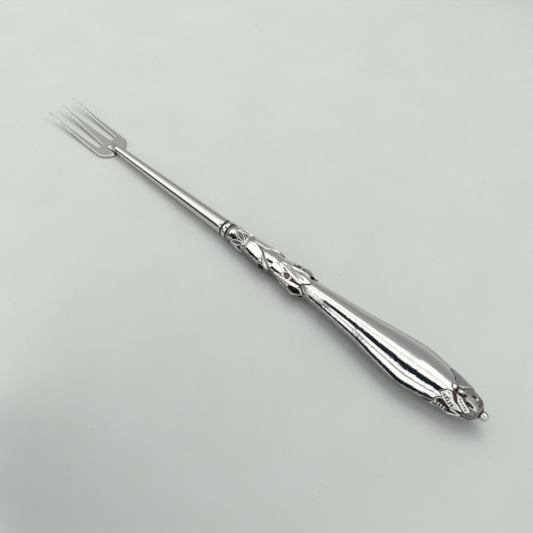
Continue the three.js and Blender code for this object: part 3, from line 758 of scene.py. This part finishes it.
def cap_front(angle):
    """Front edge of the leaf cap: a bud on top, a lobed leaf on each side of it and a leaf over the seam."""
    fold = np.degrees(np.arcsin(np.clip(np.abs(np.sin(angle)), 0, 1)))
    rows = [
        (0, CAP_BUD_TIP), (7, CAP_BUD_TIP + 0.7), (13, CAP_BUD_NOTCH), (17, CAP_FACE_TIP + 2.0),
        (20, CAP_FACE_TIP + 1.2), (25, CAP_FACE_TIP + 0.8), (31, CAP_FACE_TIP + 0.5), (36, CAP_FACE_TIP),
        (41, CAP_FACE_TIP + 0.1), (47, CAP_FACE_TIP + 0.8), (51.5, CAP_SIDE_NOTCH),
        (56, CAP_SIDE_NOTCH - 0.9), (66, CAP_SIDE_TIP + 1.1), (79, CAP_SIDE_TIP + 0.9), (90, CAP_SIDE_TIP),
    ]
    return mix(through(rows)(fold)[0], CAP_FAR_TIP, ramp(0.53, 0.72, np.sin(angle)))


def cap_relief(along, angle):
    """Rimmed leaves, ladder bars and straps on the cap's dark ground: height, tarnish with painted shade,
    rims rubbed bright with a painted highlight.
    """
    across = -np.degrees(np.arcsin(np.clip(np.abs(np.sin(angle)), 0, 1)))
    across, along = np.broadcast_arrays(across, along)
    far = ramp(0.02, 0.08, np.sin(angle))
    near = 1 - far

    def leaf(path, half):
        """Inside of a closed line on one half of the cap, its rim and the shade around it."""
        depth = field(along, across, path, CAP_DEGREE)
        inside = ramp(-0.1, 0.1, depth) * half
        return inside, bump(depth - 0.3, 0.22) * inside, ramp(-0.9, -0.3, depth) * half

    def line(path, width):
        return bump(path_distance(along, across, path, CAP_DEGREE), width)

    def spot(place, radius):
        reach = np.hypot(along - place[0], (across - place[1]) * CAP_DEGREE)
        return ramp(radius + 0.1, radius - 0.1, reach)

    def roof(path):
        return 0.28 - 0.23 * np.minimum(path_distance(along, across, path, CAP_DEGREE), 1.6)

    face, face_rim, face_shade = leaf(FACE_LEAF, near)
    strap, strap_rim, strap_shade = leaf(STRAP, near)
    side, _, side_shade = leaf(SIDE_FIELD, near)
    bud, bud_rim, bud_shade = leaf(BUD, 1)
    back, back_rim, back_shade = leaf(FAR_LEAF, far)
    side_rim = line(SIDE_LEAF, 0.32) * near
    face_bars, face_field = ladder(along, across, FACE_LADDER, CAP_DEGREE, 0.85, 0.5)
    side_bars, side_field = ladder(along, across, SIDE_LADDER, CAP_DEGREE, 0.9, 0.55)
    strap_bars, strap_field = ladder(along, across, STRAP_LADDER, CAP_DEGREE, 0.85, 0.45)
    dash = line(FACE_DASH, 0.15) * face
    veins = highest(*[line(vein, 0.18) for vein in FAR_VEINS]) * far
    almond = ramp(0.42, 0.27, path_distance(along, across, ALMOND, CAP_DEGREE)) * near
    near_holes = highest(*[spot(place, 0.5) for place in HOLES]) * near
    holes = highest(near_holes, almond, spot(FAR_HOLE, 0.7) * far)
    lines = highest(line(ALMOND_RIM, 0.26), line(SIDE_RIB, 0.2), line(TAIL_LINE, 0.22)) * near
    beads = highest(spot(BEAD, 0.42) * near, spot(FAR_BEAD, 0.4) * far)
    tail = ramp(CAP_TAIL, CAP_TAIL + 1, along)

    raised = highest(face, strap, bud, back)
    ground = mix(mix(-0.3, -0.1, far), -0.08, tail)
    height = mix(ground, 0.0, raised) + 0.2 * highest(face_rim, strap_rim, bud_rim, back_rim)
    height = height + (face * roof(FACE_LADDER) + strap * (roof(STRAP_LADDER) - 0.12))
    gaps = face * face_field * (1 - face_bars) + strap * strap_field * (1 - strap_bars)
    low_bars = side * (1 - raised) * side_field * side_bars
    height = height - 0.07 * gaps - 0.12 * dash - 0.1 * veins + 0.28 * low_bars
    height = highest(height, 0.28 * side_rim - 0.34 * (1 - side_rim))
    height = highest(height, 0.16 * lines - 0.34 * (1 - lines))
    height = height - 0.3 * holes + 0.25 * beads

    shade = highest(face_shade, strap_shade, side_shade, bud_shade, 0.4 * back_shade)
    open_ground = (1 - raised) * mix(mix(0.5, 0.92, shade), 0.61, tail) * (1 - side_rim) * (1 - lines)
    open_ground = open_ground * (1 - ramp(0.3, 0.7, low_bars))
    face_gaps = face * face_field * ramp(0.4, 0.15, face_bars)
    strap_gaps = 0.9 * strap * strap_field * ramp(0.35, 0.1, strap_bars)
    end_film = 0.55 * ramp(CAP_END - 0.9, CAP_END - 0.2, along)
    # The far leaf carries a painted shade of about half strength all over
    tarnish_and_shade = highest(open_ground, face_gaps, strap_gaps, end_film, 0.46 * back, 0.8 * dash, 0.6 * veins)
    rubbed_and_highlit = highest(face_rim, strap_rim, side_rim, lines, low_bars) * near
    rubbed_and_highlit = highest(rubbed_and_highlit, beads, bud_rim, 0.3 * back_rim) * (1 - holes)
    return height, highest(tarnish_and_shade * (1 - 0.7 * rubbed_and_highlit), holes), rubbed_and_highlit


def cap_piece():
    """Cup of chased leaves over the body's rear end."""
    columns = 248
    angle = turns(columns)[None, :]
    part = np.linspace(0, 1, 116)[:, None]
    along = mix(cap_front(angle), CAP_END, part)
    height, tarnish_and_shade, rubbed_and_highlit = cap_relief(along, angle)
    height = height * ramp(1.0, 0.95, part)
    lift = mix(0.2, CAP_LIFT, ramp(0.0, 3.6, along - cap_front(angle)))
    lift = lift + 0.14 * bump(along - CAP_SWELL, 1.4)
    front = np.maximum(height[:1], 0) + lift[:1]
    edge = on_body(along[:1], angle, front * np.array([0.0, 0.6])[:, None])
    outer = on_body(along, angle, np.maximum(lift + height, 0.07))
    inner = on_body(along[::-8], angle, 0.03)
    piece = sleeve("leaf_cap_chased", np.concatenate([edge, outer, inner]))
    # The front edge rows carry dirt and painted shade where the cap meets the body
    mark(piece, "tarnish_and_shade", np.concatenate([tarnish_and_shade[:1] + 0.6, tarnish_and_shade[:1] + 0.2, tarnish_and_shade]))
    mark(piece, "rubbed_and_highlit", np.concatenate([0 * rubbed_and_highlit[:1], rubbed_and_highlit[:1], rubbed_and_highlit]))
    mark(piece, "worked", np.ones(len(piece.data.vertices)))
    return piece


def finial_piece():
    """Ball on a short cone that grows out of the cap."""
    centre = FINIAL_END - BALL_RADIUS
    neck_angle = math.asin(FINIAL_NECK_RADIUS / BALL_RADIUS)
    sweep = np.linspace(neck_angle, math.pi - 0.02, 40)
    neck = centre - BALL_RADIUS * math.cos(neck_angle)
    part = np.linspace(0, 1, 12)
    cone = mix(CAP_END - 0.1, neck, part)
    cone_radius = mix(FINIAL_CONE_RADIUS, FINIAL_NECK_RADIUS, part**2.2)
    along = np.concatenate([[CAP_END - FINIAL_STUB_LENGTH], cone, centre - BALL_RADIUS * np.cos(sweep)])
    radius = np.concatenate([[FINIAL_STUB_RADIUS], cone_radius, BALL_RADIUS * np.sin(sweep)])
    piece = tube("finial_ball_turned", ring_of(along, radius, FINIAL_COLUMNS))
    tarnish_and_shade = highest(bump(along - neck, 0.3), 0.55 * ramp(neck + 0.1, neck, along))
    mark(piece, "tarnish_and_shade", tarnish_and_shade[:, None] + np.zeros(FINIAL_COLUMNS))
    return piece


class Nodes:
    """Short way to write a node tree."""

    def __init__(self, tree):
        self.tree = tree

    def feed(self, node, links):
        """Links sockets to a node's inputs, and sets plain values on them."""
        for key, value in links.items():
            if isinstance(value, bpy.types.NodeSocket):
                self.tree.links.new(value, node.inputs[key])
            else:
                node.inputs[key].default_value = value

    def add(self, kind, links=None, **settings):
        made = self.tree.nodes.new(kind)
        for key, value in settings.items():
            setattr(made, key, value)
        self.feed(made, links or {})
        return made

    def calc(self, operation, *values):
        return self.add("ShaderNodeMath", dict(enumerate(values)), operation=operation).outputs[0]

    def times(self, first, second):
        return self.calc("MULTIPLY", first, second)

    def kept(self, name):
        """Amount that mark keeps on a mesh."""
        return self.add("ShaderNodeAttribute", attribute_name=name).outputs["Fac"]

    def step(self, low, high, value):
        """0 below low, 1 above high, smooth in between."""
        links = {"Value": value, "From Min": low, "From Max": high}
        return self.add("ShaderNodeMapRange", links, interpolation_type="SMOOTHSTEP").outputs[0]

    def scale(self, value, low, high, to_low, to_high):
        links = {"Value": value, "From Min": low, "From Max": high, "To Min": to_low, "To Max": to_high}
        return self.add("ShaderNodeMapRange", links).outputs[0]

    def blend(self, part, first, second):
        first = (*first, 1) if isinstance(first, tuple) else first
        second = (*second, 1) if isinstance(second, tuple) else second
        return self.add("ShaderNodeMixRGB", {"Fac": part, "Color1": first, "Color2": second}).outputs[0]

    def noise(self, place, size, detail=2.0, rough=0.5):
        """Noise with features of about the given size in millimetres along X, Y and Z."""
        scale = [1 / (MM * length) for length in size]
        fitted = self.add("ShaderNodeMapping", {"Vector": place, "Scale": scale})
        links = {"Vector": fitted.outputs[0], "Scale": 1.0, "Detail": detail, "Roughness": rough}
        return self.add("ShaderNodeTexNoise", links).outputs["Fac"]

    def bump(self, height, distance, normal=None, strength=1.0):
        """Bumps of a height in millimetres, on top of those of another normal if there is one."""
        links = {"Height": height, "Strength": strength, "Distance": distance * MM}
        if normal is not None:
            links["Normal"] = normal
        return self.add("ShaderNodeBump", links).outputs[0]


def new_material(name):
    material = bpy.data.materials.new(name)
    material.use_nodes = True
    nodes = Nodes(material.node_tree)
    place = nodes.add("ShaderNodeTexCoord").outputs["Object"]
    return material, nodes, material.node_tree.nodes["Principled BSDF"], place


def silver(name, base, roughness, dent_height):
    """Polished silver: fine scratches along the length, patches of shallow dents, brown to black tarnish and
    painted shade in the chasing and on the marked sides, and rims that are rubbed bright with a painted
    highlight."""
    material, nodes, shader, place = new_material(name)
    bright, film_and_shade_grey = (0.95, 0.95, 0.93), (0.27, 0.268, 0.258)
    brown, black = (0.115, 0.072, 0.060), (0.013, 0.011, 0.010)
    worn = tuple(level * shade for level, shade in zip(base, (0.93, 0.93, 0.92)))
    held, worked, rubbed_and_highlit = [nodes.kept(key) for key in ("tarnish_and_shade", "worked", "rubbed_and_highlit")]
    cloud = nodes.noise(place, (9, 6, 6), 4.0, 0.6)
    grain = nodes.calc("SUBTRACT", nodes.noise(place, (0.6, 0.5, 0.5)), 0.5)
    held = nodes.calc("MULTIPLY_ADD", grain, 0.5, held)
    soiled_and_shaded = nodes.step(0.2, 0.6, held)
    # Rims rubbed bright take a paler, rougher silver: partly wear, partly a painted highlight
    clean = nodes.blend(rubbed_and_highlit, nodes.blend(cloud, base, worn), bright)
    # The film grey, brown and black serve both real tarnish and painted shade
    tarnish_and_shade = nodes.blend(nodes.step(0.55, 0.72, held), film_and_shade_grey, brown)
    tarnish_and_shade = nodes.blend(nodes.step(0.75, 1.0, held), tarnish_and_shade, black)
    gloss = nodes.scale(cloud, 0.35, 0.7, roughness, roughness * 1.6)
    for amount, rougher in ((worked, 0.08), (rubbed_and_highlit, 0.25), (soiled_and_shaded, 0.25)):
        gloss = nodes.calc("MULTIPLY_ADD", amount, rougher, gloss)
    dents = nodes.noise(place, (2.6, 0.9, 0.9))
    normal = nodes.bump(nodes.times(dents, nodes.step(0.42, 0.62, cloud)), dent_height)
    slant = {"Vector": place, "Rotation": (0, 0, math.radians(32))}
    turned = nodes.add("ShaderNodeMapping", slant).outputs[0]
    strokes = nodes.step(0.62, 0.72, nodes.noise(turned, (9, 0.7, 4)))
    normal = nodes.bump(strokes, 0.25 * dent_height, normal)
    stipple = nodes.times(nodes.noise(place, (0.7, 0.7, 0.7), 1.0), soiled_and_shaded)
    normal = nodes.bump(stipple, 0.16, normal)
    scratches = nodes.noise(place, (7, 0.3, 0.3), 3.0, 0.6)
    normal = nodes.bump(scratches, 0.0012, normal)
    colour = nodes.blend(soiled_and_shaded, clean, tarnish_and_shade)
    nodes.feed(shader, {"Base Color": colour, "Metallic": 1.0, "Roughness": gloss, "Normal": normal})
    return material


def pitch_material():
    """Dark brown pitch with a dull, uneven break; it lies hidden inside the handle."""
    material, nodes, shader, place = new_material("pitch")
    lumps = nodes.noise(place, (2, 2, 2), 4.0, 0.65)
    colour = nodes.blend(lumps, (0.030, 0.018, 0.012), (0.075, 0.05, 0.034))
    gloss = nodes.scale(lumps, 0.3, 0.7, 0.55, 0.9)
    normal = nodes.bump(lumps, 0.2, strength=0.6)
    nodes.feed(shader, {"Base Color": colour, "Roughness": gloss, "Normal": normal})
    return material


def table_material():
    """Pale grey-green table top, faintly mottled, with a few specks."""
    material, nodes, shader, place = new_material("pale_table")
    dull, pale, dark = (0.638, 0.676, 0.640), (0.682, 0.712, 0.678), (0.40, 0.42, 0.40)
    mottle = nodes.scale(nodes.noise(place, (26, 26, 26), 5.0, 0.6), 0.2, 0.8, -0.3, 1.3)
    specks = nodes.step(0.70, 0.78, nodes.noise(place, (2.2, 2.2, 2.2), 1.0))
    colour = nodes.blend(nodes.times(specks, 0.16), nodes.blend(mottle, dull, pale), dark)
    nodes.feed(shader, {"Base Color": colour, "Roughness": 0.7, "Specular IOR Level": 0.2})
    return material


def dress(piece, material, slot_name, *nodes):
    piece.data.materials.append(material)
    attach(piece, "root")
    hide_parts(*nodes)


def add_table():
    reach = 1600.0
    level = -0.02
    corners = [(x * reach, y * reach, level) for x, y in ((-1, -1), (1, -1), (1, 1), (-1, 1))]
    table = mesh_object("table_top", corners, [(0, 1, 2, 3)])
    table.data.materials.append(table_material())


def pose_of(right, up, back, place):
    pose = np.eye(4)
    pose[:3, 0], pose[:3, 1], pose[:3, 2], pose[:3, 3] = right, up, back, place
    return Matrix(pose.tolist())


def add_camera():
    elevation, azimuth = math.radians(CAMERA_ELEVATION), math.radians(CAMERA_AZIMUTH)
    level = math.cos(elevation)
    right = np.array([math.cos(azimuth), math.sin(azimuth), 0])
    forward = np.array([-level * math.sin(azimuth), level * math.cos(azimuth), -math.sin(elevation)])
    camera = new_object("camera", bpy.data.cameras.new("camera"))
    camera.matrix_world = pose_of(right, np.cross(right, forward), -forward, np.array(CAMERA_PLACE) * MM)
    camera.data.sensor_width = 36
    camera.data.lens = 36 * FOCAL_PIXELS / FRAME_PIXELS
    camera.data.clip_start = 0.005
    bpy.context.scene.camera = camera


def add_window_light():
    """Soft light from above the far side, in metres; the metal sees the room instead of the lamp."""
    data = bpy.data.lights.new("window", "AREA")
    data.shape = "RECTANGLE"
    data.size = 1.05
    data.size_y = 0.9
    data.energy = 7.2
    lamp = new_object("window", data)
    place = np.array([-0.2, 0.69, 1.30])
    back = place / np.linalg.norm(place)
    right = np.cross([0, 1, 0], back)
    right = right / np.linalg.norm(right)
    lamp.matrix_world = pose_of(right, np.cross(back, right), back, place)
    lamp.visible_glossy = False


def add_cards():
    """Dark cards that hang out of the picture, clear of the table, and take light from it."""
    material, nodes, shader, place = new_material("dark_card")
    shade = nodes.blend(nodes.noise(place, (5, 5, 5)), (0.02, 0.02, 0.02), (0.03, 0.03, 0.03))
    nodes.feed(shader, {"Base Color": shade, "Roughness": 0.9})
    cards = {
        "near_card": ([(-5.0, -92.0), (25.0, -112.0), (145.0, -112.0)], 4.0, 300.0),
        "far_card": ([(-150.0, 280.0), (200.0, 280.0)], 30.0, 110.0),
    }
    for name, (folds, low, high) in cards.items():
        corners = [(x, y, z) for x, y in folds for z in (low, high)]
        faces = [(k, k + 2, k + 3, k + 1) for k in range(0, 2 * len(folds) - 2, 2)]
        card = mesh_object(name, corners, faces)
        card.data.materials.append(material)
        card.visible_glossy = False
        card.visible_camera = False


def add_room():
    """Plain room light. Polished metal sees the room: pale ceiling, dark gaps in it and a grey far wall.
    The tilt is an angle in degrees from straight up towards the near side, square to the fork."""
    world = bpy.data.worlds.new("room")
    bpy.context.scene.world = world
    world.use_nodes = True
    world.node_tree.nodes.clear()
    nodes = Nodes(world.node_tree)
    direction = nodes.add("ShaderNodeTexCoord").outputs["Generated"]
    along, across, up = nodes.add("ShaderNodeSeparateXYZ", {"Vector": direction}).outputs
    turned = nodes.calc("ARCTAN2", nodes.times(across, -1.0), up)
    tilt = nodes.times(turned, 180 / math.pi)
    night, pale = (0.014, 0.022, 0.030), (1.6, 1.6, 1.57)

    def past(edge, before, after):
        """0 before an edge, 1 after it, smooth over some degrees around it."""
        return nodes.step(nodes.calc("SUBTRACT", edge, before), nodes.calc("ADD", edge, after), tilt)

    def band(start, end):
        return nodes.times(past(start, 1.0, 1.0), past(end, -1.0, -1.0))

    # Far wall, darkest at a tilt of -60, and the ceiling, whose far edge shifts along the fork
    off_middle = nodes.calc("DIVIDE", nodes.calc("ADD", tilt, 60.0), 30.0)
    grey = nodes.calc("MULTIPLY_ADD", nodes.times(off_middle, off_middle), 0.2, 0.4)
    wall = nodes.add("ShaderNodeCombineColor", {"Red": grey, "Green": grey, "Blue": grey}).outputs[0]
    past_end = nodes.scale(along, -0.64, -0.585, 1.0, 0.0)
    near_end = nodes.scale(along, -0.225, -0.195, -24.0, -34.0)
    far_edge = nodes.calc("MULTIPLY_ADD", past_end, 48.0, near_end)
    room = nodes.blend(past(far_edge, 5.0, 4.0), wall, pale)

    # Dark gaps in the ceiling: a faint one above, a broad one that widens by the collar, a narrow one
    room = nodes.blend(nodes.times(band(-9.0, -1.0), 0.25), room, night)
    beside = nodes.step(-0.54, -0.50, along)
    gap_start = nodes.scale(along, -0.50, -0.487, 21.0, 13.5)
    gap_end = nodes.scale(along, -0.50, -0.487, 80.0, 36.5)
    room = nodes.blend(nodes.times(band(gap_start, gap_end), beside), room, night)
    room = nodes.blend(nodes.times(nodes.times(band(50.0, 56.0), beside), 0.7), room, night)

    # Dark below the ceiling's near edge
    near_edge = nodes.scale(along, -0.555, -0.49, 58.0, 74.0)
    room = nodes.blend(past(near_edge, 2.0, 2.0), room, night)

    path = nodes.add("ShaderNodeLightPath").outputs
    plain = nodes.blend(path["Is Camera Ray"], (0.78, 0.78, 0.78), (0.66, 0.69, 0.65))
    seen = nodes.blend(path["Is Glossy Ray"], plain, room)
    light = nodes.add("ShaderNodeBackground", {"Color": seen, "Strength": 1.0})
    nodes.add("ShaderNodeOutputWorld", {"Surface": light.outputs[0]})


handle_silver = silver("handle_silver", (0.65, 0.655, 0.635), 0.06, 0.03)
fork_silver = silver("fork_silver", (0.61, 0.615, 0.595), 0.11, 0.015)

dress(head_piece(), fork_silver, "fork_silver", "fork_head")
dress(stem_piece(), fork_silver, "fork_silver", "stem_with_tang")
dress(ring_piece(), handle_silver, "handle_silver", "mouth_ring")
dress(calyx_piece(), handle_silver, "handle_silver", "neck_calyx")
dress(body_half("handle_body_upper", 0), handle_silver, "handle_silver", "handle_front_shell")
dress(body_half("handle_body_lower", 180), handle_silver, "handle_silver", "handle_back_shell")
dress(cap_piece(), handle_silver, "handle_silver", "leaf_cap")
dress(finial_piece(), handle_silver, "handle_silver", "ball_finial")

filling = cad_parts["pitch_filling"]
filling.data.materials.clear()
filling.data.materials.append(pitch_material())

add_table()
add_camera()
add_window_light()
add_cards()
add_room()
bpy.context.scene.view_settings.view_transform = "Standard"
